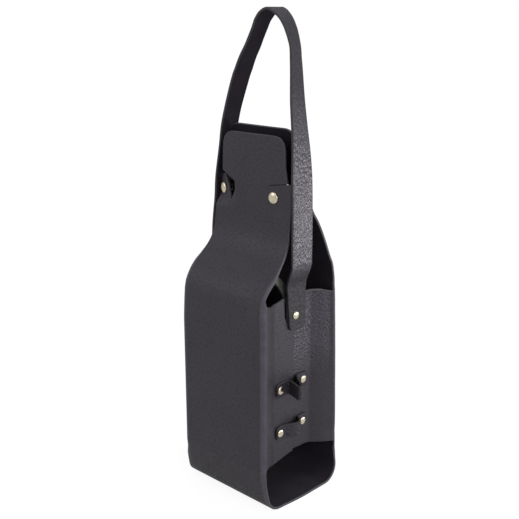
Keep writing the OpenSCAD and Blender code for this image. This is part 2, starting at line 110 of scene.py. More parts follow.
FLANGE_Y_LEFT = EAR_Y_LEFT + FLANGE_BACK
LEFT_REACH = NECK_W - HALF_T * 1.1
HINGE_X = EAR_ROOT + HALF_T
HINGE_Y = HALF_D * 0.26
EAR_BEND_R = LEATHER * 0.8
RIGHT_CUT_Y = FLANGE_Y_RIGHT + EAR_BEND_R * 1.2
LEFT_CUT_X = SNAP_X_LEFT - SNAP_D * 0.44 - HALF_T * 0.85
SEAM_Z = WING_TOP + 0.5
WEB_START = 18.0
PATTERN_UNIT = 100      # millimetres of pattern to one unit of UV

FRONT_SHARES = [(0, -0.975), (0.06, -0.938), (0.13, -0.812), (0.2, -0.602), (0.265, -0.421),
    (0.335, -0.306), (0.42, -0.254), (0.54, -0.238), (0.72, -0.226), (1, -0.178)]
BACK_SHARES = [(0, 0.965), (0.1, 0.904), (0.2, 0.814), (0.31, 0.681), (0.4, 0.533), (0.47, 0.393),
    (0.54, 0.309), (0.63, 0.271), (0.73, 0.187), (0.85, 0.1065), (1, 0.03)]
SHOULDER_SHARES = [(0.255, 0.26), (0.32, 0.48), (0.4, 0.72), (0.54, 0.95), (0.68, 1)]
CREASE_SHARES = [(0, 0), (0.33, 0.3), (0.62, 0.68), (0.82, 0.93), (0.975, 1)]
LEG_SHARES = [(0, 0.0048), (0.1146, 0.0513), (0.8985, 0.1095), (0.9935, 0.1608), (0.915, 0.3713),
    (0.5745, 0.5348)]
ARCH_SHARES = [(0.9944, 0.6935), (0.8894, 0.8709), (0.6693, 0.9561), (0.3355, 0.9974),
    (0.1145, 0.9937), (-0.019, 0.9706), (-0.0763, 0.9478), (-0.2151, 0.8873), (-0.4793, 0.8122),
    (-0.6416, 0.7524), (-0.9095, 0.6053)]
LEFT_LEG_SHARES = [(0.0196, 0.51), (0.6318, 0.3996), (0.7234, 0.3041), (0.856, 0.2106),
    (0.9149, 0.1196), (0.1097, 0.0503), (0, 0.0048)]
LEAN_SHARES = [(0, 0.09), (0.055, 0.24), (0.115, 0.34), (0.122, 0.45), (0.085, 0.55),
    (0.02, 0.66), (0, 0.74)]
LEFT_WEB_SHARES = [(0, 1), (0.03, 0.83), (0.15, 0.66), (0.31, 0.5), (0.485, 0.34), (0.66, 0.19),
    (0.8, 0.08), (0.92, 0)]
STAY_SIDE_SHARES = [(-0.7, 0.6632), (-0.6, 0.647), (-0.3, 0.6205), (-0.125, 0.5895),
    (-0.025, 0.5544), (0, 0.5265), (0, 0.5053)]
STAY_PLAN_SHARES = [(1.04, -0.8), (0.9, -0.68), (0.6, -0.55), (0.28, -0.42), (0.06, -0.28),
    (0, -0.15)]


# ---- curves and outlines

def curve(points, n=8):
    """A smooth line through the points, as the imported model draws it."""
    p = np.asarray(points, float)
    at = lambda i: p[min(max(i, 0), len(p) - 1)]
    out = []
    for i in range(len(p) - 1):
        for j in range(n):
            u = j / n
            out.append(0.5 * (2 * at(i) + (at(i + 1) - at(i - 1)) * u
                + (2 * at(i - 1) - 5 * at(i) + 4 * at(i + 1) - at(i + 2)) * u * u
                + (3 * at(i) - at(i - 1) - 3 * at(i + 1) + at(i + 2)) * u ** 3))
    out.append(p[-1])
    return np.array(out)


def arc(centre, r, a, b, n=10):
    """Points on an arc from angle a to angle b, in degrees."""
    t = np.radians(np.linspace(a, b, n + 1))
    return np.c_[centre[0] + r * np.cos(t), centre[1] + r * np.sin(t)]


class Line:
    """A bent line in a plane, read by the distance along it and straight on past its ends."""

    def __init__(self, *parts):
        p = np.concatenate([np.atleast_2d(np.asarray(q, float)) for q in parts])
        keep = np.r_[True, np.hypot(*np.diff(p, axis=0).T) > 0.02]
        self.p = p[keep]
        step = np.diff(self.p, axis=0)
        length = np.hypot(*step.T)
        self.s = np.r_[0, np.cumsum(length)]
        way = step / length[:, None]
        t = np.concatenate([way[:1], way[:-1] + way[1:], way[-1:]])
        self.t = t / np.hypot(*t.T)[:, None]
        self.length = self.s[-1]

    def at(self, s):
        s = np.asarray(s, float)
        c = np.clip(s, 0, self.length)
        p, t = (np.stack([np.interp(c, self.s, v[:, k]) for k in (0, 1)], -1) for v in (self.p, self.t))
        t /= np.hypot(t[..., 0], t[..., 1])[..., None]
        return p + t * (s - c)[..., None], t

    def find(self, axis, value, first=0, last=None):
        """Distance where a coordinate reaches a value, on a stretch that only rises or only falls."""
        v, s = self.p[first:last, axis], self.s[first:last]
        if v[0] > v[-1]:
            v, s = v[::-1], s[::-1]
        return np.interp(value, v, s)


def eased(table, reach=5):
    """A table of (distance, value) with its corners rounded off."""
    at = np.arange(-20.0, 520.0)
    window = np.hanning(2 * reach + 1)
    value = np.pad(np.interp(at, *zip(*table)), reach, mode="edge")
    return at, np.convolve(value, window / window.sum(), "valid")


def read(table, x):
    """The value of a table of (x, value) at x."""
    return np.interp(x, *zip(*table))


def smooth_step(x, a, b):
    """0 at a, 1 at b, with a soft start and end. a may be the larger."""
    t = np.clip((np.asarray(x, float) - a) / (b - a), 0, 1)
    return t * t * (3 - 2 * t)


CORNER_SHARE = 0.48     # the most that a rounded corner takes of a side
CORNER_STEP = 0.22      # turn from point to point, in radians


def rounded(corners):
    """A closed outline from corners (x, y, radius), each rounded by its radius."""
    c = np.array([q[:2] for q in corners], float)
    r = [q[2] for q in corners]
    out = []
    for i in range(len(c)):
        a, b, d = c[i - 1] - c[i], c[(i + 1) % len(c)] - c[i], r[i]
        la, lb = np.hypot(*a), np.hypot(*b)
        a, b = a / la, b / lb
        angle = math.acos(float(np.clip(a @ b, -1, 1)))
        if d <= 0 or angle > math.pi - 0.06:
            out.append(c[i])
            continue
        cut = min(d / math.tan(angle / 2), CORNER_SHARE * la, CORNER_SHARE * lb)
        n = max(2, int(math.ceil((math.pi - angle) / CORNER_STEP)))
        for k in range(n + 1):
            u = k / n
            out.append((1 - u) ** 2 * (c[i] + a * cut) + 2 * u * (1 - u) * c[i]
                + u * u * (c[i] + b * cut))
    return np.array(out)


def dense(p, step):
    """The closed outline with no edge longer than step."""
    out = []
    for a, b in zip(p, np.roll(p, -1, axis=0)):
        n = max(1, int(math.ceil(np.hypot(*(b - a)) / step)))
        out += [a + (b - a) * k / n for k in range(n)]
    out = np.array(out)
    keep = np.hypot(*(out - np.roll(out, 1, axis=0)).T) > 0.03
    return out[keep]


def inside(pts, poly):
    """Which points lie inside the closed outline."""
    x, y = pts[:, 0][:, None], pts[:, 1][:, None]
    x1, y1 = poly[:, 0], poly[:, 1]
    x2, y2 = np.roll(x1, -1), np.roll(y1, -1)
    crosses = (y1 > y) != (y2 > y)
    at = (x2 - x1) * (y - y1) / np.where(y1 == y2, 1, y2 - y1) + x1
    return (crosses & (x < at)).sum(1) % 2 == 1


def clearance(pts, poly):
    """Distance from each point to the closed outline."""
    a, b = poly, np.roll(poly, -1, axis=0)
    ab = b - a
    length = (ab ** 2).sum(1) + 1e-12
    out = np.empty(len(pts))
    for k in range(0, len(pts), 2000):
        q = pts[k:k + 2000, None, :]
        t = np.clip(((q - a) * ab).sum(2) / length, 0, 1)
        out[k:k + 2000] = np.sqrt(((q - a - t[..., None] * ab) ** 2).sum(2)).min(1)
    return out


# ---- leather pieces

def new_mesh(name, points, faces):
    """A smooth mesh, in metres."""
    mesh = bpy.data.meshes.new(name)
    mesh.from_pydata(points, [], faces)
    mesh.polygons.foreach_set("use_smooth", [True] * len(faces))
    return mesh


def new_object(name, data):
    made = bpy.data.objects.new(name, data)
    scene.collection.objects.link(made)
    return made


def unit(v, least=1e-12):
    return v / np.maximum(np.linalg.norm(v, axis=1), least)[:, None]


GRAIN_SIDE, FLESH_SIDE, CUT_EDGE = 0, 1, 2      # material slots of a leather piece
RIM_ANGLES = (0, 30, 60, 90, 90, 120, 150, 180)
PROBE = 0.03            # step in the pattern for reading a form's slope
MITER_LIMIT = 0.35
GRID_CLEAR = 0.35       # nearest that an inner point comes to the rim


def leather(name, outline, form, thick, columns, rows, materials, seam=None, rim=0.55, edge=1.3):
    """A piece of leather: the outline is its pattern, form bends it, and its cut edge is rounded."""
    half = thick / 2
    b = dense(np.asarray(outline, float), edge)
    if (b[:, 0] * np.roll(b[:, 1], -1) - np.roll(b[:, 0], -1) * b[:, 1]).sum() < 0:
        b = b[::-1].copy()
    nb = len(b)
    after = np.roll(b, -1, axis=0) - b
    after /= np.hypot(*after.T)[:, None]
    left = np.c_[-after[:, 1], after[:, 0]]
    on_seam = np.zeros(nb, bool) if seam is None else seam((b + np.roll(b, -1, axis=0)) / 2)
    n2, n1 = left.copy(), np.roll(left, 1, axis=0)
    s2, s1 = on_seam, np.roll(on_seam, 1)
    miter = (n1 + n2) / np.maximum(1 + (n1 * n2).sum(1), MITER_LIMIT)[:, None]
    miter[s1 & ~s2] = n2[s1 & ~s2]
    miter[s2 & ~s1] = n1[s2 & ~s1]
    miter[s1 & s2] = 0
    out_way = unit(-(n1 + n2), 1e-6)

    def place(p):
        """Position, the face's outward direction and the slopes' cross product."""
        pos, way = form(p)
        cross = np.cross(*(form(p + e)[0] - form(p - e)[0] for e in ((PROBE, 0), (0, PROBE))))
        n = unit(cross)
        return pos, n * np.sign((n * way).sum(1))[:, None], cross

    # Rings over the cut edge, from the front face round to the back face
    co, no, rings = [], [], len(RIM_ANGLES)
    for k, a in enumerate(RIM_ANGLES):
        a = math.radians(a)
        p = b + miter * rim * (1 - math.sin(a))
        pos, n = place(p)[:2]
        shift = rim * math.cos(a) + (half - rim) * (1 if k < rings // 2 else -1)
        side = form(p + out_way * PROBE)[0] - form(p - out_way * PROBE)[0]
        side = unit(side - n * (side * n).sum(1)[:, None])
        co.append(pos + n * shift)
        no.append(n * math.cos(a) + side * math.sin(a))
    ring = b + miter * rim

    # Inner points, triangulated within the ring
    cc, rr = np.meshgrid(columns, rows)
    grid = np.c_[cc.ravel(), rr.ravel()]
    low, high = ring.min(0), ring.max(0)
    grid = grid[((grid > low) & (grid < high)).all(1)]
    grid = grid[inside(grid, ring)]
    grid = grid[clearance(grid, ring) > GRID_CLEAR]
    flat = np.concatenate([ring, grid])
    made = delaunay_2d_cdt([Vector(q) for q in flat.tolist()],
        [(i, (i + 1) % nb) for i in range(nb)], [list(range(nb))], 1, 1e-5)
    source = [o[0] if o else -1 for o in made[3]]
    for i in [i for i, o in enumerate(source) if o < 0]:
        source[i] = nb + len(grid)
        grid = np.concatenate([grid, [made[0][i][:]]])
    gp, gn, cross = place(grid)
    turned = (cross * form(grid)[1]).sum(1).mean() < 0
    co += [gp + gn * half, gp - gn * half]
    no += [gn, -gn]

    # Both faces and the rim between them
    top = lambda i: i if i < nb else rings * nb + i - nb
    under = lambda i: (rings - 1) * nb + i if i < nb else rings * nb + len(grid) + i - nb
    faces, kind = [], []
    for f in made[2]:
        t = [source[i] for i in f]
        faces += [[top(i) for i in t], [under(i) for i in t[::-1]]]
        kind += [GRAIN_SIDE, FLESH_SIDE]
    for k in range(rings - 1):
        for i in range(nb):
            j = (i + 1) % nb
            faces.append([k * nb + i, (k + 1) * nb + i, (k + 1) * nb + j, k * nb + j])
            kind.append(CUT_EDGE if 1 <= k < rings - 1 else GRAIN_SIDE)
    if turned:
        faces = [f[::-1] for f in faces]
    co, no = np.concatenate(co), np.concatenate(no)
    pattern = np.concatenate([b] * rings + [grid, grid])
    mesh = new_mesh(name, (co * MM).tolist(), faces)
    mesh.polygons.foreach_set("material_index", kind)
    uv = mesh.uv_layers.new(name="pattern")
    loops = np.zeros(len(mesh.loops), np.int64)
    mesh.loops.foreach_get("vertex_index", loops)
    uv.data.foreach_set("uv", (pattern[loops] / PATTERN_UNIT).ravel())
    mesh.validate()
    mesh.update()
    mesh.normals_split_custom_set_from_vertices(no.tolist())
    for m in materials:
        mesh.materials.append(m)
    return new_object(name, mesh)


def spaced(*stops):
    """Values from stop to stop, each pair given the step between them: a, step, b, step, c."""
    out = []
    for a, step, b in zip(stops[::2], stops[1::2], stops[2::2]):
        n = max(1, int(round(abs(b - a) / step)))
        out += list(np.linspace(a, b, n + 1)[:-1])
    return np.array(out + [stops[-1]])


def both_sides(half):
    """The same distances to the right and to the left of the middle."""
    return np.unique(np.round(np.r_[half, -half], 4))


# ---- the long body sheet

front_line = [(HALF_D * y, WING_TOP + NECK_RISE * z) for z, y in FRONT_SHARES]
back_line = [(HALF_D * y, BEND_Z + (BACK_H - BEND_Z) * z) for z, y in BACK_SHARES]
bend_y = back_line[0][0]
front_part = curve(front_line)[::-1]
# The flap's curve starts a little past the bending line, in the sheet's own direction
root = np.array([bend_y - HALF_D + HALF_T, BEND_Z - WING_TOP + BASE_R / 2])
root /= np.hypot(*root)
back_line[0] = tuple(np.array(back_line[0]) + root * HALF_T * 1.5)
trough = Line(front_part, arc((BASE_R - HALF_D, BASE_R), BASE_R - HALF_T, 180, 270),
    arc((HALF_D - BASE_R, BASE_R), BASE_R - HALF_T, 270, 360),
    [(HALF_D - HALF_T, WING_TOP - BASE_R / 2), (bend_y, BEND_Z)], curve(back_line))
on_base = trough.p[:, 1] < HALF_T + 0.001
down_to = int(np.argmax(on_base))
up_from = len(trough.p) - int(np.argmax(on_base[::-1])) - 1


def s_front(z):
    """Distance along the sheet at a height on its front."""
    return trough.find(1, z, 0, down_to + 1)


def s_back(z):
    """Distance along the sheet at a height on its back."""
    return trough.find(1, z, up_from, None)


S_MIDDLE = (trough.s[down_to] + trough.s[up_from]) / 2
FOLD_MID = FOLD_R - HALF_T
FOLD_LENGTH = FOLD_MID * math.pi / 2
FOLD_U = HALF_W - FOLD_R
WING_U = FOLD_U + FOLD_LENGTH       # where the fold ends and the wing starts


def wing_path(flat_x, end_y):
    """Plan of a side wing from the end of its fold: distance from the middle, depth from the sheet."""
    fold_c = HALF_D - FOLD_R
    pts = [(HALF_W - HALF_T - (HALF_W - HALF_T - flat_x) * b, fold_c - (fold_c - FLAT_HALF) * a)
        for a, b in CREASE_SHARES]
    pts = np.concatenate([curve(pts, 6), [(flat_x, end_y)]])
    pts[:, 1] = HALF_D - HALF_T - pts[:, 1]
    return Line(pts)


front_wing = wing_path(FRONT_X, -12.0)
rear_wing = wing_path(REAR_X, -FLAT_HALF - LEATHER)


def wing_p(path, y):
    """Pattern distance past the fold's start, for a wing point that far from the middle in depth."""
    return FOLD_LENGTH + path.find(1, HALF_D - HALF_T - y)


WEB_BEND = 1.8
WEB_ARC = WEB_BEND * math.pi / 2
WEB_U = HINGE_X - WEB_BEND
right_web = Line([(HINGE_X, WEB_START), (HINGE_X, RIGHT_CUT_Y)])
left_web = Line([(HINGE_X, WEB_START)], curve([(HINGE_X + (LEFT_CUT_X - HINGE_X) * a,
    FLANGE_Y_LEFT + (HINGE_Y - FLANGE_Y_LEFT) * b) for a, b in LEFT_WEB_SHARES], 5),
    [(LEFT_CUT_X, FLANGE_Y_LEFT)])


def softness(x, y, z):
    """Small unevenness of hanging leather, along the face's direction."""
    calm = 1 - 0.7 * smooth_step(np.abs(z - SNAP_Z), 22, 8)
    return calm * (0.16 * np.sin(0.045 * x + 0.9 + 0.021 * z) * np.sin(0.033 * z + 0.4)
        + 0.1 * np.sin(0.095 * x - 0.061 * z + 2.1 + 0.05 * y)
        + 0.05 * np.sin(0.21 * x + 0.13 * z) * np.sin(0.17 * z - 0.08 * x + 1.3))


# How far the used sheet has settled, by height: bulge as a share of the depth, flare in millimetres
SAG_FRONT = [(0, 0), (5, -0.015), (12, -0.035), (22, 0.01), (34, 0.052), (140, 0.058), (156, 0.034),
    (168, 0.006), (186, -0.03), (200, -0.02), (215, 0)]
SAG_BACK = [(0, 0), (22, 0.03), (35, 0.065), (45, 0.086), (60, 0.082), (80, 0.056), (100, 0.032),
    (120, 0.012), (140, -0.004), (160, -0.022), (175, -0.036), (188, -0.02), (205, 0)]
FLARE = [(0, 3), (10, 2), (18, 1), (32, 1), (42, 0)]
FOLD_ZONE = (33, 42.5)
FLANK_ZONE = (20, 37)
DRAWN_IN = 0.022
CORNER_FORWARD = 2.0


def sagged(x, y, z):
    """The settled sheet: flared at the foot, drawn in at the folds, its right front corner forward."""
    edge = smooth_step(np.abs(x), *FOLD_ZONE)
    sag = np.where(y < 0, read(SAG_FRONT, z), read(SAG_BACK, z))
    wide = read(FLARE, z) * smooth_step(y, -42, 4)
    narrow = DRAWN_IN * np.abs(x) * smooth_step(z, 216, 184) * smooth_step(z, 4, 30)
    forward = CORNER_FORWARD * smooth_step(x, 24, 42) * smooth_step(z, 140, 166)
    forward = forward * smooth_step(z, 192, 172) * (y < 0)
    deep = y * (1 + sag * smooth_step(np.abs(y), *FLANK_ZONE)) - forward * smooth_step(-y, *FLANK_ZONE)
    return x + np.sign(x) * (wide - narrow) * edge, deep


# The left front ear's lens: where its slit starts, and how it climbs outwards
LENS_U, LENS_Z, LENS_SLOPE = 17.0, 245.5, 0.64
EAR_PULL = 0.31


def slit_height(a):
    """Height of the slit that parts the right ear from the tongue, at distance a from the middle."""
    return EAR_HIGH + 2.9 + (a - EAR_ROOT) * 0.165


# Heights between which the folded sides ease into the flat sheet
EASE_FRONT_TOP, EASE_FRONT_FOOT = (WING_FRONT_TOP + 15, WING_FRONT_TOP), (WING_LOW - 18, WING_LOW - 6)
EASE_BACK_TOP, EASE_BACK_FOOT = (WING_TOP + 12, WING_TOP - 2.5), (WING_BACK_LOW - 16, WING_BACK_LOW)


def body_form(p):
    """The body sheet: u across, s along the line that runs down the front, under and up the back."""
    u, s = p[:, 0], p[:, 1]
    mid, way = trough.at(s)
    y, z = mid.T
    dy, dz = -way[:, 1], way[:, 0]
    a, sign = np.abs(u), np.where(u < 0, -1.0, 1.0)
    front = s < S_MIDDLE
    k_front = smooth_step(z, *EASE_FRONT_TOP) * smooth_step(z, *EASE_FRONT_FOOT)
    k_back = smooth_step(z, *EASE_BACK_TOP) * smooth_step(z, *EASE_BACK_FOOT)
    k = np.maximum(np.where(front, k_front, k_back), 1e-4)

    # The fold, then the wing past it
    bent = np.clip(a - FOLD_U, 0, FOLD_LENGTH)
    angle = k * bent / FOLD_MID
    x = np.minimum(a, FOLD_U) + FOLD_MID / k * np.sin(angle)
    depth = FOLD_MID / k * (1 - np.cos(angle))
    over = np.maximum(a - FOLD_U - FOLD_LENGTH, 0)
    turn = (k - 1) * math.pi / 2
    deeper = np.zeros_like(depth)
    for path, mask in ((front_wing, front), (rear_wing, ~front)):
        q, t = path.at(over)
        q = q - path.p[0]
        m = mask & (over > 0)
        x = np.where(m, x + q[:, 0] * np.cos(turn) - q[:, 1] * np.sin(turn), x)
        deeper = np.where(m, q[:, 0] * np.sin(turn) + q[:, 1] * np.cos(turn), deeper)
        angle = np.where(m, np.arctan2(t[:, 1], t[:, 0]) + turn, angle)
    flat = np.where(front, 1.0, -1.0)
    py = y + dy * depth + flat * deeper
    pz = z + dz * depth
    nx, nd = sign * np.sin(angle), -np.cos(angle)
    ny, nz = dy * nd, dz * nd
    px = sign * x

    # The right front ear lies flat. The left one is pulled back by its press stud.
    press = smooth_step(a, EAR_ROOT, EAR_ROOT + 4) * smooth_step(z, EAR_LOW - 7, EAR_LOW + 2)
    press = np.where(front & (sign > 0) & (z < FRONT_H) & (z < slit_height(a)), press, 0)
    py = py + (EAR_Y_RIGHT - py) * press
    tab = front & (sign < 0) & (a > LENS_U) & (z < LENS_Z + (a - LENS_U) * LENS_SLOPE)
    py = py + np.where(tab, (a - LENS_U) * EAR_PULL * smooth_step(z, EAR_LOW - 6, SNAP_Z - 2), 0)

    # Webs that run forward from the back sheet to the back ears
    pos, n = np.c_[px, py, pz], np.c_[nx, ny, nz]
    in_web = ~front & (a > WEB_U) & (z > EAR_LOW - SLIT * 0.5) & (z < EAR_HIGH + SLIT * 0.5)
    bend = np.clip(a - WEB_U, 0, WEB_ARC) / WEB_BEND
    past = np.maximum(a - WEB_U - WEB_ARC, 0)
    for path, side in ((right_web, 1), (left_web, -1)):
        q, t = path.at(WEB_START - (y - WEB_BEND) + past)
        wx = np.where(past > 0, q[:, 0], WEB_U + WEB_BEND * np.sin(bend))
        wy = np.where(past > 0, q[:, 1], y - WEB_BEND * (1 - np.cos(bend)))
        theta = np.where(past > 0, np.arctan2(-t[:, 1], t[:, 0]), bend)
        m = in_web & (sign == side)
        pos[m] = np.c_[side * wx, wy, z][m]
        n[m] = np.c_[side * np.sin(theta), np.cos(theta), 0 * z][m]

    free = np.where(tab | in_web | (press > 0), 0.0, 1.0)
    free = free * smooth_step(a, WING_U + 14, FOLD_U) * smooth_step(z, 0, 25)
    pos += n * (softness(*pos.T) * free)[:, None]
    pos[:, 0], pos[:, 1] = sagged(*pos.T)
    return pos, n


def shoulder_line():
    """Shoulder outline from the top of the wings to the neck: half width, height and no radius."""
    pts = [(SHOULDER_U, BEND_Z)] + [(HALF_W - (HALF_W - NECK_W) * b,
        WING_TOP + (SNAP_Z - WING_TOP) * a) for a, b in SHOULDER_SHARES]
    return [(u, z, 0) for u, z in curve(pts, 4)]


def on_front(corners):
    """Corners of the pattern from (distance across, height on the front, radius)."""
    return [(u, s_front(z), r) for u, z, r in corners]


def on_back(corners):
    return [(u, s_back(z), r) for u, z, r in corners]


def body_half(side):
    """Corners of one half of the sheet's pattern, from the front tongue to the seam at the back."""
    if side > 0:
        # The tongue, its slit and the flat ear
        slit, end = slit_height, slit_height(NECK_W)
        top = [(31.2, FRONT_H, 16), (33.4, 262, 0), (36.0, slit(36) + 0.25, 0.4),
            (EAR_ROOT, slit(EAR_ROOT) + 0.15, 0.2), (EAR_ROOT, slit(EAR_ROOT) - 0.15, 0.2),
            (NECK_W - 0.1, end - 0.2, 0.5), (NECK_W + 0.8, end - 2.4, 1.2), (NECK_W + 0.8, EAR_LOW, 4)]
    else:
        # The tongue, the lens and the pulled ear
        top = [(31.6, FRONT_H, 11), (31.0, 254.6, 1.0), (24.5, 251.2, 6), (17.6, 247.6, 3.5),
            (17.2, 240.5, 4), (23.0, 232.2, 0.5), (25.6, 237.8, 4), (28.6, 245.8, 5),
            (32.4, 251.4, 1.2), (36.5, 250.5, 3), (LEFT_REACH, EAR_HIGH - 4, 3),
            (LEFT_REACH, EAR_LOW, 3)]
    front = lambda y: FOLD_U + wing_p(front_wing, -y)
    rear = lambda y: FOLD_U + wing_p(rear_wing, y)
    end, reach = front(HALF_T * 0.7), front(HANDLE_W * 0.26)
    c = on_front(top + shoulder_line()[::-1])
    # Front wing: its top edge with the slit beside the strap, its end and its sloping lower edge
    c += on_front([(WING_U + 0.1, WING_FRONT_TOP - 1, 0.8), (front(-31), WING_TOP + 0.2, 3),
        (front(-25), WING_TOP - 2, 4), (front(-20), WING_TOP - 2, 5),
        (front(-HANDLE_W * 0.45), WING_TOP + 0.35, 0.5), (front(-HANDLE_W * 0.41), PIVOT_Z, 3),
        (front(-HANDLE_W * 0.287), PIVOT_Z - STRAP_END_R + 0.4, 0.25),
        (front(-HANDLE_W * 0.261), PIVOT_Z - STRAP_END_R + 1.0, 0.25),
        (front(-HANDLE_W * 0.33), WING_TOP, 0.6), (reach, WING_TOP, 2.5),
        (reach, STRAP_END_Z + STRAP_END_R, 3), (end, STRAP_END_Z - HALF_T, 3),
        (end, WING_LOW - 2.2, 0.8), (front(-3), WING_LOW - 2.3, 6), (front(-12), WING_LOW - 3.9, 8),
        (front(-20), WING_LOW - 5.6, 6), (front(-23.5), WING_LOW - 5.2, 4),
        (front(-31.7), WING_LOW - 0.5, 4), (WING_U + 0.2, WING_LOW, 1.6),
        (HALF_W + 0.05, WING_LOW - 5, 3)])
    # Under the bottle, then the rear wing up to the seam
    end, reach = rear(-FLAT_HALF - HALF_T / 2), rear(-HANDLE_W * 0.17)
    c += on_back([(HALF_W + 0.05, WING_BACK_LOW - 5, 3), (WING_U + 0.2, WING_BACK_LOW + 0.2, 1.6),
        (rear(HALF_D * 0.45), WING_LOW - 2.9, 8), (rear(HALF_T), WING_LOW - 2.1, 5),
        (end, WING_LOW, 3), (end, STRAP_END_Z - LEATHER * 2, 3),
        (reach, STRAP_END_Z - LEATHER, 3), (reach, WING_TOP, 1.5),
        (rear(HALF_D * 0.7), WING_TOP - 0.5, 6), (WING_U + 0.2, WING_TOP - 2.6, 1.2),
        (SHOULDER_U, SEAM_Z, 0)])
    return [(side * u, s, r) for u, s, r in c]


body_outline = rounded(body_half(1) + body_half(-1)[::-1])
S_SEAM = s_back(SEAM_Z)
columns = both_sides(spaced(0, 3, FOLD_U - 1.5, 0.5, FOLD_U, 0.4, WING_U, 1.2, WING_U + 26, 2.5,
    WING_U + 66))
s1, s2 = s_front(BASE_R), s_back(BASE_R)
rows = spaced(0.0, 2, s_front(WING_FRONT_TOP + 45), 1.5, s_front(WING_FRONT_TOP - 6), 3,
    s_front(WING_LOW + 3), 1.6, s1, 1.1, s1 + 24, 4, s2 - 24, 1.1, s2, 1.6,
    s_back(WING_LOW + 3), 3, s_back(WING_TOP - 8), 1.4, S_SEAM)


# ---- materials

def set_values(n, **values):
    """Set a node. A name with an underscore in front is a property, any other an input."""
    for key, value in values.items():
        if key.startswith("_"):
            setattr(n, key[1:], value)
        else:
            n.inputs[key.replace("_", " ")].default_value = value
    return n


def tinted(base, k):
    return tuple(c * k for c in base)


class Nodes:
    """The node tree of a material or a world in the making."""

    def __init__(self, holder):
        holder.use_nodes = True
        self.tree = holder.node_tree
        self.tree.nodes.clear()

    def node(self, kind, **values):
        return set_values(self.tree.nodes.new("ShaderNode" + kind), **values)

    def link(self, source, socket):
        """The socket takes a link from another one, or a value or colour of its own."""
        if hasattr(source, "links"):
            self.tree.links.new(source, socket)
        else:
            socket.default_value = (*source, 1) if socket.type == "RGBA" else source

    def join(self, n, *sources):
        """A source for each of the node's first sockets, and its first output, if any, back."""
        for source, socket in zip(sources, n.inputs):
            self.link(source, socket)
        return n.outputs[0] if n.outputs else None

    def space(self, kind):
        return self.node("TexCoord").outputs[kind]

    def range(self, source, low, high, a=0.0, b=1.0):
        """The source taken from a..b to low..high, and held at the ends."""
        n = self.node("MapRange", From_Min=a, From_Max=b, To_Min=low)
        self.link(high, n.inputs["To Max"])
        self.link(source, n.inputs["Value"])
        return n.outputs["Result"]

    def math(self, what, a, b):
        return self.join(self.node("Math", _operation=what), a, b)

    def times(self, a, b):
        return self.math("MULTIPLY", a, b)

    def plus(self, a, b):
        return self.math("ADD", a, b)

    def mix(self, fac, a, b, how="MIX"):
        n = self.node("Mix", _data_type="RGBA", _blend_type=how)
        colours = [i for i in n.inputs if i.type == "RGBA"]
        for source, socket in zip((fac, a, b), (n.inputs[0], *colours)):
            self.link(source, socket)
        return [o for o in n.outputs if o.type == "RGBA"][0]

    def either(self, fac, a, b, end):
        """The shader a or b by fac, to the tree's output node."""
        self.join(self.node(end), self.join(self.node("MixShader"), fac, a.outputs[0], b.outputs[0]))


class Shader(Nodes):
    """A material of one principled surface."""

    def __init__(self, name):
        self.mat = bpy.data.materials.new(name)
        super().__init__(self.mat)
        self.bsdf = self.node("BsdfPrincipled")
        self.join(self.node("OutputMaterial"), self.bsdf.outputs[0])

    def feed(self, name, source):
        self.link(source, self.bsdf.inputs[name])

    def shades(self, source, base, start, dark, light):
        """The base times dark to times light, as the source goes from start to 1 - start."""
        n = self.node("ValToRGB")
        for e, at, k in zip(n.color_ramp.elements, (start, 1 - start), (dark, light)):
            e.position, e.color = at, (*tinted(base, k), 1)
        self.link(source, n.inputs["Fac"])
        return n.outputs["Color"]

    def noise(self, where, scale, detail=3.0, rough=0.6, out="Fac"):
        n = self.node("TexNoise", Scale=scale, Detail=detail, Roughness=rough)
        self.join(n, where)
        return n.outputs[out]

    def cells(self, where, size, feature="F1"):
        return self.join(self.node("TexVoronoi", _voronoi_dimensions="2D", _feature=feature,
            Scale=PATTERN_UNIT / size, Randomness=1.0), where)

    def bump(self, height, strength, distance):
        n = self.node("Bump", Strength=strength, Distance=distance)
        self.link(height, n.inputs["Height"])
        self.feed("Normal", n.outputs["Normal"])


# Depths of the reliefs, in metres
GRAIN_DEPTH, NAP_DEPTH, FIBRE_DEPTH, WIPE_DEPTH = 0.00042, 0.00025, 0.0002, 0.00008
COARSE_GRAIN, COARSE_CREASE, COARSE_CELL = 7.5, -5.0, 3.4


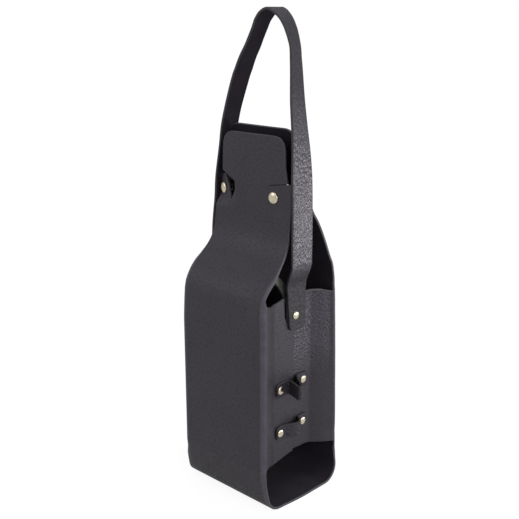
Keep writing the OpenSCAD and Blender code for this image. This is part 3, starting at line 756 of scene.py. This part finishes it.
def grained_leather(name, base, grain, rough, cell=1.9, painted_fold_highlight=None, coarse_and_painted_light=None, polished=None):
    """Dyed cowhide with a pebbled grain, cell mm from pebble to pebble.

    painted_fold_highlight: between which distances across the folds are painted paler, a painted
    highlight where they catch the light. coarse_and_painted_light: past which distances, across and
    along, the grain is coarse, glossier and its colour painted lighter, painted light.
    polished: the middle along, and from where to where on both sides of it hands
    have polished it glossier and its colour is painted lighter, a painted highlight.
    """
    sh = Shader(name)
    at = sh.space("UV")
    warp = sh.noise(at, PATTERN_UNIT / (cell * 2.2), 2.0, 0.5, "Color")
    where = sh.join(sh.node("VectorMath", _operation="MULTIPLY_ADD"), warp,
        (cell * 0.006, cell * 0.006, 0), at)
    pebble = sh.cells(where, cell, "SMOOTH_F1")
    small = sh.cells(where, cell * 0.52)
    pores = sh.noise(at, 520, 2.0)
    broad = sh.noise(at, 1.9, rough=0.55)
    patch = sh.noise(at, 11)
    split = sh.node("SeparateXYZ")
    sh.join(split, at)
    across = sh.times(sh.math("ABSOLUTE", split.outputs["X"], 0.0), PATTERN_UNIT)
    along = sh.times(split.outputs["Y"], PATTERN_UNIT)

    # Relief
    height = sh.plus(sh.times(pebble, -1.0), sh.times(small, -0.22))
    height = sh.plus(height, sh.times(pores, 0.12))
    if coarse_and_painted_light:
        coarse_and_painted_light_share = sh.times(sh.range(across, 0, 1, coarse_and_painted_light[0], coarse_and_painted_light[0] + 3),
            sh.range(along, 0, 1, coarse_and_painted_light[1], coarse_and_painted_light[1] + 30))
        height = sh.times(height, sh.range(coarse_and_painted_light_share, 1.0, COARSE_GRAIN))
        crease = sh.cells(where, COARSE_CELL, "DISTANCE_TO_EDGE")
        height = sh.plus(height, sh.times(sh.range(crease, COARSE_CREASE, 0, 0, 0.16), coarse_and_painted_light_share))
    sh.bump(height, grain, GRAIN_DEPTH)

    # Colour: cloudy, with painted shade in the pebbles' valleys and a painted highlight along the folds
    tone = sh.plus(sh.times(broad, 0.55), sh.times(patch, 0.45))
    colour = sh.shades(tone, base, 0.34, 0.8, 1.2)
    # Painted shade: each pebble is painted darker towards its valleys.
    painted_valley_shade = [sh.range(pebble, 1.05, 0.8, 0.15, 0.75)] * 3
    colour = sh.mix(1.0, colour, sh.join(sh.node("CombineColor"), *painted_valley_shade), "MULTIPLY")
    if painted_fold_highlight:
        # Painted highlight: the band over the folds is painted almost three times paler, where the
        # rounded fold catches the light.
        painted_fold_highlight_share = sh.times(sh.range(across, 0, 1, painted_fold_highlight[0] - 1.2, painted_fold_highlight[0] + 0.6),
            sh.range(across, 1, 0, painted_fold_highlight[1] - 0.6, painted_fold_highlight[1] + 1.2))
        painted_fold_highlight_share = sh.times(painted_fold_highlight_share, sh.range(patch, 0.55, 1.0, 0.3, 0.7))
        colour = sh.mix(painted_fold_highlight_share, colour, tinted(base, 2.9))
    if coarse_and_painted_light:
        # Painted light: the coarse zone's colour is lifted to stand in for the light that catches the
        # rear wings.
        colour = sh.mix(coarse_and_painted_light_share, colour, sh.mix(1.0, colour, (1.75, 1.85, 1.8), "MULTIPLY"))

    # Roughness
    dull = sh.plus(sh.range(patch, rough - 0.05, rough + 0.07, 0.3, 0.7),
        sh.range(pebble, -0.03, 0.08, 0.1, 0.7))
    if coarse_and_painted_light:
        dull = sh.math("SUBTRACT", dull, sh.range(coarse_and_painted_light_share, 0, 0.14))
    if polished:
        leg = sh.math("ABSOLUTE", sh.math("SUBTRACT", along, polished[0]), 0.0)
        polish_and_painted_highlight_share = sh.times(sh.range(leg, 0, 1, polished[1], polished[1] + 40),
            sh.range(leg, 1, 0, polished[2] - 14, polished[2]))
        dull = sh.plus(dull, sh.range(polish_and_painted_highlight_share, 0.14, -0.2))
        # Painted highlight: where it is polished, the strap's colour is also painted almost three times
        # lighter.
        colour = sh.mix(polish_and_painted_highlight_share, colour, sh.mix(1.0, colour, (2.9, 2.95, 2.9), "MULTIPLY"))
    sh.feed("Base Color", colour)
    sh.feed("Roughness", dull)
    return sh.mat


def suede(name, base):
    """The flesh side: short fibres, no gloss."""
    sh = Shader(name)
    at = sh.space("UV")
    nap = sh.noise(at, 210, 4.0, 0.65)
    tone = sh.plus(sh.times(nap, 0.5), sh.times(sh.noise(at, 6), 0.5))
    sh.feed("Base Color", sh.shades(tone, base, 0.32, 0.65, 1.4))
    sh.bump(nap, 0.5, NAP_DEPTH)
    set_values(sh.bsdf, Roughness=0.95, Specular_IOR_Level=0.2, Sheen_Weight=0.02, Sheen_Roughness=0.5)
    return sh.mat


def cut_edge(name, base, rough=0.6):
    """The cut edge: layered fibres, a little paler where it has been rubbed."""
    sh = Shader(name)
    at = sh.space("Object")
    fibre, rub = sh.noise(at, 1900), sh.noise(at, 90)
    tone = sh.plus(sh.times(fibre, 0.4), sh.times(rub, 0.6))
    sh.feed("Base Color", sh.shades(tone, base, 0.33, 0.7, 1.35))
    sh.feed("Roughness", sh.range(rub, rough - 0.1, rough + 0.1, 0.3, 0.7))
    sh.bump(fibre, 0.35, FIBRE_DEPTH)
    return sh.mat


def polished_brass(name, base, rough):
    """Plated brass: fine wipe marks, with slightly duller, warmer patches."""
    sh = Shader(name)
    at = sh.space("Object")
    dull = sh.noise(at, 260)
    sh.feed("Base Color", sh.shades(dull, base, 0.35, 0.86, 1))
    sh.feed("Metallic", 1.0)
    sh.feed("Roughness", sh.range(dull, rough + 0.08, rough - 0.04, 0.3, 0.7))
    sh.bump(sh.noise(at, 2600, 2.0, 0.5), 0.1, WIPE_DEPTH)
    return sh.mat


BLACK = (0.0335, 0.0278, 0.0372)
hide = grained_leather("leather_body", BLACK, 0.28, 0.5, painted_fold_highlight=(FOLD_U - 0.4, WING_U - 0.4),
    coarse_and_painted_light=(47, float(s_back(95))))
hide_strap = grained_leather("leather_strap", tinted(BLACK, 0.82), 1.25, 0.43, 2.6,
    polished=(245, 62, 203))
# The stays' leather is painted much paler than the body's: painted light, where they catch the light
# through the side opening.
hide_stay_painted_light = grained_leather("leather_stay_painted_light", (0.1, 0.096, 0.09), 0.35, 0.6)
flesh = suede("suede_inside", (0.02, 0.0155, 0.0225))
edge_body = cut_edge("edge_body", (0.07, 0.066, 0.074))
edge_strap = cut_edge("edge_strap", (0.036, 0.033, 0.039))
brass = polished_brass("brass", (0.86, 0.77, 0.58), 0.22)
brass_inside = polished_brass("brass_inside", (0.74, 0.62, 0.42), 0.34)
body_set = [hide, flesh, edge_body]
strap_set = [hide_strap, flesh, edge_strap]


def at_seam(p):
    return np.abs(p[:, 1] - S_SEAM) < 0.02


body = leather("body_sheet", body_outline, body_form, LEATHER, columns, rows, body_set, seam=at_seam)
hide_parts("main_panel")
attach(body, "carrier")


# ---- the back flap and its ears

def web_end(length, y):
    """Pattern distance across the flap where a web of that length ends, at depth y."""
    return WEB_U + WEB_ARC + length - (WEB_START - (y - WEB_BEND))


def flap_half(side):
    """Corners of one half of the flap's pattern, from the seam to the tongue."""
    length = (right_web if side > 0 else left_web).length
    end = lambda z: web_end(length, np.interp(z, trough.p[up_from:, 1], trough.p[up_from:, 0]))
    cut = WEB_U - 0.6
    c = [(SHOULDER_U, S_SEAM, 0)] + on_back(shoulder_line())
    c += on_back([(NECK_W, EAR_LOW - SLIT, 1.2), (cut, EAR_LOW - SLIT, 0.3), (cut, EAR_LOW, 0.3),
        (end(EAR_LOW), EAR_LOW, 0), (end(EAR_HIGH), EAR_HIGH, 0), (cut, EAR_HIGH, 0.3),
        (cut, EAR_HIGH + SLIT, 0.3), (NECK_W - 0.8, EAR_HIGH + SLIT, 0.8),
        (NECK_W - 1.0, EAR_HIGH + SLIT + 6, 4), (TONGUE_W + 0.6, EAR_HIGH + SLIT + 16, 8),
        (TONGUE_W - (1.8 if side > 0 else 0), BACK_H, TONGUE_R)])
    return [(side * u, s, r) for u, s, r in c]


def flap_seam(p):
    z, y = (np.interp(p[:, 1], trough.s[up_from:], trough.p[up_from:, k]) for k in (1, 0))
    length = np.where(p[:, 0] > 0, right_web.length, left_web.length)
    web = np.abs(np.abs(p[:, 0]) - web_end(length, y)) < 0.05
    return at_seam(p) | (web & (z > EAR_LOW) & (z < EAR_HIGH))


flap_outline = rounded(flap_half(1) + flap_half(-1)[::-1])
flap_rows = spaced(S_SEAM, 1.4, s_back(BEND_Z + 6), 1.6, s_back(WING_TOP + 80), 2,
    s_back(BACK_H))
flap_columns = both_sides(spaced(0, 3, WEB_U, 0.4, WEB_U + 2.8, 1.5, FOLD_U, 0.5, WING_U))
flap = leather("back_flap_sheet", flap_outline, body_form, LEATHER, flap_columns, flap_rows, body_set,
    seam=flap_seam)
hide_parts("back_flap")
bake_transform(flap)

right_tab = Line([(HINGE_X, RIGHT_CUT_Y)], arc((HINGE_X + EAR_BEND_R, FLANGE_Y_RIGHT + EAR_BEND_R),
    EAR_BEND_R, 180, 270, 8), [(SNAP_X_RIGHT + SNAP_D * 0.44 + LEATHER, FLANGE_Y_RIGHT)])
left_tab = Line([(LEFT_CUT_X, FLANGE_Y_LEFT), (LEFT_REACH, FLANGE_Y_LEFT)])


def strip_form(path, side=1, height=0, out=1):
    """An upright strip that bends in plan."""
    def form(p):
        q, t = path.at(p[:, 0])
        n = out * np.c_[side * t[:, 1], -t[:, 0], 0 * t[:, 0]]
        return np.c_[side * q[:, 0], q[:, 1], height + p[:, 1]], n
    return form


for name, path, side, start, end in (
        ("right", right_tab, 1, (HINGE_X, RIGHT_CUT_Y), (HINGE_X + EAR_BEND_R, FLANGE_Y_RIGHT)),
        ("left", left_tab, -1, (-LEFT_CUT_X, FLANGE_Y_LEFT), (-LEFT_CUT_X - 1.2, FLANGE_Y_LEFT))):
    outline = rounded([(0, EAR_LOW, 0), (path.length, EAR_LOW, 3), (path.length, EAR_HIGH, 3),
        (0, EAR_HIGH, 0)])
    tab = leather(name + "_ear_tab", outline, strip_form(path, side, out=-1), LEATHER,
        spaced(0, 0.4, path.length), spaced(EAR_LOW, 2, EAR_HIGH), body_set,
        seam=lambda p: p[:, 0] < 0.01)
    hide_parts(name + "_neck_ear")
    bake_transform(tab)


# ---- the bail strap

spread = HALF_W * 0.145
rise = HANDLE_H - HALF_T - WING_TOP
bail = Line([(STRAP_X, STRAP_END_Z)],
    curve([(STRAP_X + spread * a, WING_TOP + rise * b) for a, b in LEG_SHARES]
        + [(STRAP_X * a, WING_TOP + rise * b) for a, b in ARCH_SHARES]
        + [(-STRAP_X - spread * a, WING_TOP + rise * b) for a, b in LEFT_LEG_SHARES]),
    [(-STRAP_X, STRAP_END_Z)])
lean = curve([(HANDLE_W * a, WING_TOP + rise * b) for a, b in LEAN_SHARES], 4)

# By distance along the strap from its right end: twist in degrees, how far it stands out, and the
# half widths to its two edges. ASIDE goes by height: how far it stands to the right.
TWIST = eased([(120, 0), (153, 7.6), (174, 9.9), (204, 15), (211, 15.4), (216, 13.3), (221, 11.2),
    (226, 9.3), (232, 6), (236, 2.5), (240, -1.4), (243, -3), (246, -2.2), (252, 3.4),
    (258, 3.2), (264, 0.4), (270, 0), (276, 1.2), (288, 6.1), (300, 10.5), (312, 11), (324, 9),
    (342, 4.3), (354, 1.8), (366, 0)])
PROUD = eased([(120, 0), (153, 0.45), (174, 0.6), (204, 1.14), (211, 1.35), (216, 0.95), (221, 0.1),
    (226, 0), (229, 0.2), (236, 0.65), (240, 0.85), (243, 1.15), (246, 0.85), (252, -0.75),
    (258, -0.8), (264, -0.28), (270, 0), (288, -0.45), (300, -1.4), (312, -1.15), (324, -0.47),
    (342, 0.76), (354, 1.44), (366, 2), (425, 1.6), (445, 0)])
ASIDE = [(340, 0), (352, 0.8), (360, 2.3), (374, 3)]
FRONT_EDGE = [(0, 6.2), (5, 6.2), (12, 7), (19, 8), (30, 8.8), (36, 9.9), (47, 11.4), (118, 11.1),
    (150, 9.85), (212, 8), (330, 8), (444, 11.5), (495, 11.5)]
BACK_EDGE = [(0, 11.5), (38, 11.5), (52, 10.6), (118, 10.9), (134, 10.7), (150, 9.85), (212, 8),
    (330, 8), (444, 11.5), (495, 11.5)]
END_HALF, FRONT_END_HALF, FRONT_END_R = 11.5, 6.2, 5.6
STRAP_WAVE = 0.22


def bail_form(p):
    """The strap bends in its own plane, and is twisted a little about its length."""
    q, t = bail.at(p[:, 1])
    x, z = q.T
    x = x + read(ASIDE, z)
    turn = np.radians(np.interp(p[:, 1], *TWIST))
    out = np.interp(p[:, 1], *PROUD) - p[:, 0] * np.sin(turn)
    y = p[:, 0] * np.cos(turn)
    y = y + np.where(x < 0, np.interp(z, lean[:, 1], lean[:, 0], left=0, right=0), 0)
    wave = STRAP_WAVE * np.sin(p[:, 1] * 0.031 + 0.8) * np.sin(p[:, 0] * 0.16 + p[:, 1] * 0.012)
    wave = wave * smooth_step(z, WING_TOP + 4, WING_TOP + 40)
    n = np.c_[t[:, 1], 0 * x, -t[:, 0]]
    return np.c_[x, y, z] + n * (wave + out)[:, None], n


bail_s = np.linspace(0, bail.length, 260)
trim = [[(side * h, s, 0) for h, s in zip(read(table, bail_s), bail_s) if 10 < s < bail.length - 12]
    for side, table in ((-1, FRONT_EDGE), (1, BACK_EDGE))]
bail_outline = rounded([(-FRONT_END_HALF, 0, FRONT_END_R)] + trim[0]
    + [(-END_HALF, bail.length, STRAP_END_R), (END_HALF, bail.length, STRAP_END_R)]
    + trim[1][::-1] + [(END_HALF, 0, STRAP_END_R)])
strap = leather("bail_strap", bail_outline, bail_form, LEATHER, spaced(-11, 1.8, 11),
    spaced(0, 2, bail.length), strap_set, rim=0.6)
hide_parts("handle_strap")
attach(strap, "handle")


# ---- inner stays and corkscrew loops

STAY_T = LEATHER * 0.9
STAY_W = HANDLE_W * 0.3
STAY_X = REAR_FACE - LEATHER - SEAT_GAP - STAY_T / 2
stay_plan = curve([(STAY_X + (HALF_W - LEATHER * 2 - STAY_X) * a, HALF_D * b)
    for a, b in STAY_PLAN_SHARES], 6)
stay_side = curve([(HALF_D * a, FRONT_H * b) for a, b in STAY_SIDE_SHARES], 8)
stay_side = np.concatenate([stay_side, [(0, PIVOT_Z - STAY_W / 2)]])
stay_line = Line(stay_side)


def stay_form(side):
    def form(p):
        q, t = stay_line.at(p[:, 1])
        y = q[:, 0] + t[:, 1] * p[:, 0]
        z = q[:, 1] - t[:, 0] * p[:, 0]
        x = np.interp(y, stay_plan[:, 1], stay_plan[:, 0])
        slope = (np.interp(y + 0.5, stay_plan[:, 1], stay_plan[:, 0]) - x) / 0.5
        length = np.hypot(1, slope)
        n = np.c_[side / length, -slope / length, 0 * x]
        return np.c_[side * x, y, z], n
    return form


# It starts where it comes clear of the front sheet
sheet_y = np.interp(stay_side[:, 1], front_part[::-1, 1], front_part[::-1, 0])
stay_start = float(stay_line.s[np.argmax(stay_side[:, 0] > sheet_y + 2.2)])
stay_outline = rounded([(-STAY_W / 2, stay_start, 1), (STAY_W / 2, stay_start, 1),
    (STAY_W / 2, stay_line.length, STAY_W * 0.45), (-STAY_W / 2, stay_line.length, STAY_W * 0.45)])
for side, name in ((1, "right"), (-1, "left")):
    stay = leather(name + "_stay_strip", stay_outline, stay_form(side), STAY_T,
        spaced(-STAY_W / 2, 1.4, STAY_W / 2), spaced(stay_start, 1.4, stay_line.length),
        [hide_stay_painted_light, flesh, edge_strap], rim=0.4)
    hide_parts(name + "_stay")
    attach(stay, "carrier")

foot_front = FRONT_FACE + SEAT_GAP + LOOP_T / 2
foot_rear = REAR_FACE + SEAT_GAP + LOOP_T / 2
loop_reach = HALF_W * 0.35


def plan(*shares):
    """Points of a loop's plan, from shares of its reach and of the body's half depth."""
    return [(foot_front + loop_reach * a, HALF_D * b) for a, b in shares]


LOOP_BEND = LOOP_T * 0.85
loop_start, loop_end = [(foot_front, HALF_D * -0.485)], [(foot_rear, HALF_D * 0.46)]
upper_line = Line(loop_start,
    arc((foot_front + LOOP_BEND, HALF_D * -0.19), LOOP_BEND, 180, 82), plan((0.48, -0.19)),
    arc(plan((0.885, -0.215))[0], LOOP_T * 0.7, -108, 52),
    curve(plan((0.85, -0.16), (0.63, -0.09), (0.41, -0.03), (0.2, 0.03), (0.02, 0.09))
        + [(foot_rear + LOOP_T * 0.35, HALF_D * 0.14), (foot_rear + LOOP_T * 0.08, HALF_D * 0.175),
        (foot_rear, HALF_D * 0.21)], 3), loop_end)
lower_line = Line(loop_start,
    curve(plan((0, -0.31), (0.03, -0.26), (0.15, -0.18), (0.27, -0.09), (0.32, 0), (0.26, 0.075),
        (0.1, 0.13), (-0.05, 0.175)) + [(foot_rear + LOOP_T * 0.1, HALF_D * 0.205),
        (foot_rear, HALF_D * 0.23)], 5), loop_end)


LOOP_HIGH, LOOP_LOW = 93.0, 57.0
for name, path, height in (("upper", upper_line, LOOP_HIGH), ("lower", lower_line, LOOP_LOW)):
    h = LOOP_W / 2
    outline = rounded([(0, -h, 3.8), (path.length, -h, 3.8), (path.length, h, 3.8), (0, h, 3.8)])
    loop = leather(name + "_loop_strip", outline, strip_form(path, height=height), LOOP_T,
        spaced(0, 0.7, path.length), spaced(-h, 1.6, h), strap_set, rim=0.45)
    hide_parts(name + "_loop")
    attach(loop, "carrier")


# ---- rivet and press stud caps

# Radius and height of a cap, as shares
CAP_PROFILE = [(0.9, 0), (0.985, 0.1), (1, 0.24), (0.985, 0.36), (0.93, 0.5), (0.82, 0.68),
    (0.66, 0.83), (0.45, 0.93), (0.22, 0.985)]


def turned_caps(name, spots, radius, height, node, body_name, steps=40):
    """Domed caps turned about their axes. A spot is the seat's centre and the way it faces."""
    verts, faces = [], []
    for centre, way in spots:
        centre, way = np.array(centre, float), np.array(way, float)
        side = np.cross(way, (0, 0, 1.0))
        up = np.cross(side, way)
        first = len(verts)
        for r, h in CAP_PROFILE:
            for k in range(steps):
                a = 2 * math.pi * k / steps
                out = side * math.cos(a) + up * math.sin(a)
                verts.append(centre + way * (height * h) + radius * r * out)
        verts += [centre + way * height, centre]
        tip, foot = len(verts) - 2, len(verts) - 1
        for k in range(steps):
            j = (k + 1) % steps
            for i in range(len(CAP_PROFILE) - 1):
                a = first + i * steps
                faces.append((a + k, a + steps + k, a + steps + j, a + j))
            last = first + (len(CAP_PROFILE) - 1) * steps
            faces.append((last + k, tip, last + j))
            faces.append((first + j, foot, first + k))
    mesh = new_mesh(name, [tuple(v * MM) for v in verts], faces)
    mesh.materials.append(brass)
    mesh.update()
    piece = new_object(name, mesh)
    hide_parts(node)
    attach(piece, body_name)


cap_h = RIVET_D * 0.2
strap_seat = STRAP_X + HALF_T + LAYER_GAP / 2
loop_front_y, loop_rear_y = HALF_D * -0.39, HALF_D * 0.3125
front_seat = foot_front + LOOP_T / 2 + SEAT_GAP
rear_seat = foot_rear + LOOP_T / 2 + SEAT_GAP
turned_caps("handle_caps", [((s * strap_seat, 0, PIVOT_Z), (s, 0, 0)) for s in (1, -1)],
    RIVET_D / 2, cap_h, "handle_rivet_caps", "carrier")
turned_caps("loop_caps", [((seat, y, z), (1, 0, 0)) for z in (LOOP_HIGH, LOOP_LOW)
    for seat, y in ((front_seat, loop_front_y), (rear_seat, loop_rear_y))],
    RIVET_D / 2, cap_h, "loop_rivet_caps", "carrier")
turned_caps("side_caps",
    [((-FRONT_FACE - SEAT_GAP, loop_front_y, z), (-1, 0, 0)) for z in (LOOP_HIGH, LOOP_LOW)],
    RIVET_D / 2, cap_h, "side_rivet_caps", "carrier")

STUD_ASIDE, STUD_UP_RIGHT, STUD_UP_LEFT = 1.2, 1, 0.5
LENS_Y = HALF_D * -0.236        # depth of the left ear where its pull starts
right_seat = (SNAP_X_RIGHT - STUD_ASIDE, EAR_Y_RIGHT - HALF_T - SEAT_GAP, SNAP_Z + STUD_UP_RIGHT)
left_way = -np.array([EAR_PULL, 1, 0]) / math.hypot(EAR_PULL, 1)
left_x = SNAP_X_LEFT + STUD_ASIDE
left_seat = np.array([-left_x, LENS_Y + (left_x - LENS_U) * EAR_PULL, SNAP_Z + STUD_UP_LEFT])
left_seat += left_way * (HALF_T + SEAT_GAP)
turned_caps("stud_caps", [(right_seat, (0, -1, 0)), (tuple(left_seat), tuple(left_way))],
    SNAP_D * 0.53, SNAP_D * 0.2, "snap_caps", "carrier", steps=48)

for node in ("handle_rivet_posts", "loop_rivet_posts", "side_rivet_posts", "snap_sockets",
        "left_snap_stud", "right_snap_stud", "left_snap_post", "right_snap_post"):
    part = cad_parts[node]
    part.data.materials.clear()
    part.data.materials.append(brass_inside)


# ---- floor, light and camera

floor_mesh = bpy.data.meshes.new("floor")
floor_mesh.from_pydata([(-6, -6, 0), (6, -6, 0), (6, 6, 0), (-6, 6, 0)], [], [(0, 1, 2, 3)])
floor = new_object("floor", floor_mesh)

# The camera sees mostly the paper's glow, more of it farther off, and a gloss sees a part of it.
# All other light meets grey paper.
PAPER_GLOW, GLOSS_SHARE = 1.08, 0.45
NEAR, FAR = 0.5, 1.4            # metres from the middle
NEAR_SHARE, FAR_SHARE = 0.84, 0.935
PAPER_LIT, PAPER_SEEN = 0.36, 0.86
paper = bpy.data.materials.new("white_paper")
nodes = Nodes(paper)
rays = nodes.node("LightPath").outputs
away = nodes.node("VectorMath", _operation="LENGTH")
nodes.join(away, nodes.space("Object"))
share = nodes.range(away.outputs["Value"], NEAR_SHARE, FAR_SHARE, NEAR, FAR)
seen = nodes.plus(nodes.times(rays["Is Glossy Ray"], GLOSS_SHARE), rays["Is Camera Ray"])
diffuse = nodes.node("BsdfDiffuse")
nodes.join(diffuse, nodes.mix(rays["Is Camera Ray"], [PAPER_LIT] * 3, [PAPER_SEEN] * 3))
glow = nodes.node("Emission", Color=(1, 1, 1, 1), Strength=PAPER_GLOW)
nodes.either(nodes.range(seen, 0.0, share), diffuse, glow, "OutputMaterial")
floor.data.materials.append(paper)

# The camera sees white, and everything else a dimmer, slightly cool sky
world = bpy.data.worlds.new("studio")
scene.world = world
nodes = Nodes(world)
sky = nodes.node("Background", Color=(0.95, 0.97, 1.0, 1), Strength=0.5)
white = nodes.node("Background", Color=(1, 1, 1, 1), Strength=1.0)
nodes.either(nodes.node("LightPath").outputs["Is Camera Ray"], sky, white, "OutputWorld")


def turned_to(place, aim):
    return (Vector(aim) - Vector(place)).to_track_quat("-Z", "Y").to_euler()


def softbox(name, place, aim, width, height, power):
    light = bpy.data.lights.new(name, "AREA")
    light.shape = "RECTANGLE"
    light.size, light.size_y, light.energy = width, height, power
    lamp = new_object(name, light)
    lamp.location, lamp.rotation_euler = place, turned_to(place, aim)
    lamp.visible_camera = False


softbox("key_right", (1.25, -0.35, 0.75), (0, 0, 0.2), 0.8, 0.8, 6)
softbox("low_right", (0.44, 0.36, 0.13), (0.04, 0, 0.23), 0.32, 0.11, 0.9)
softbox("fill_left", (-0.9, -1.3, 0.9), (0, 0, 0.18), 1.1, 1.1, 3.9)
softbox("top", (0.2, 0.1, 1.6), (0, 0, 0.2), 1.0, 1.0, 8)

# The photograph's camera, as fitted: focal length and width in pixels, place and aim in metres
FOCAL, WIDTH = 863.8, 519
PLACE, AIM = (0.4439, -0.4663, 0.3696), (-0.0006, -0.0006, 0.1867)
camera = bpy.data.cameras.new("camera")
camera.sensor_width = 36
camera.lens = 36 * FOCAL / WIDTH
camera.clip_start, camera.clip_end = 0.01, 50
eye = new_object("camera", camera)
eye.location, eye.rotation_euler = PLACE, turned_to(PLACE, AIM)
scene.camera = eye
scene.view_settings.view_transform = "Standard"
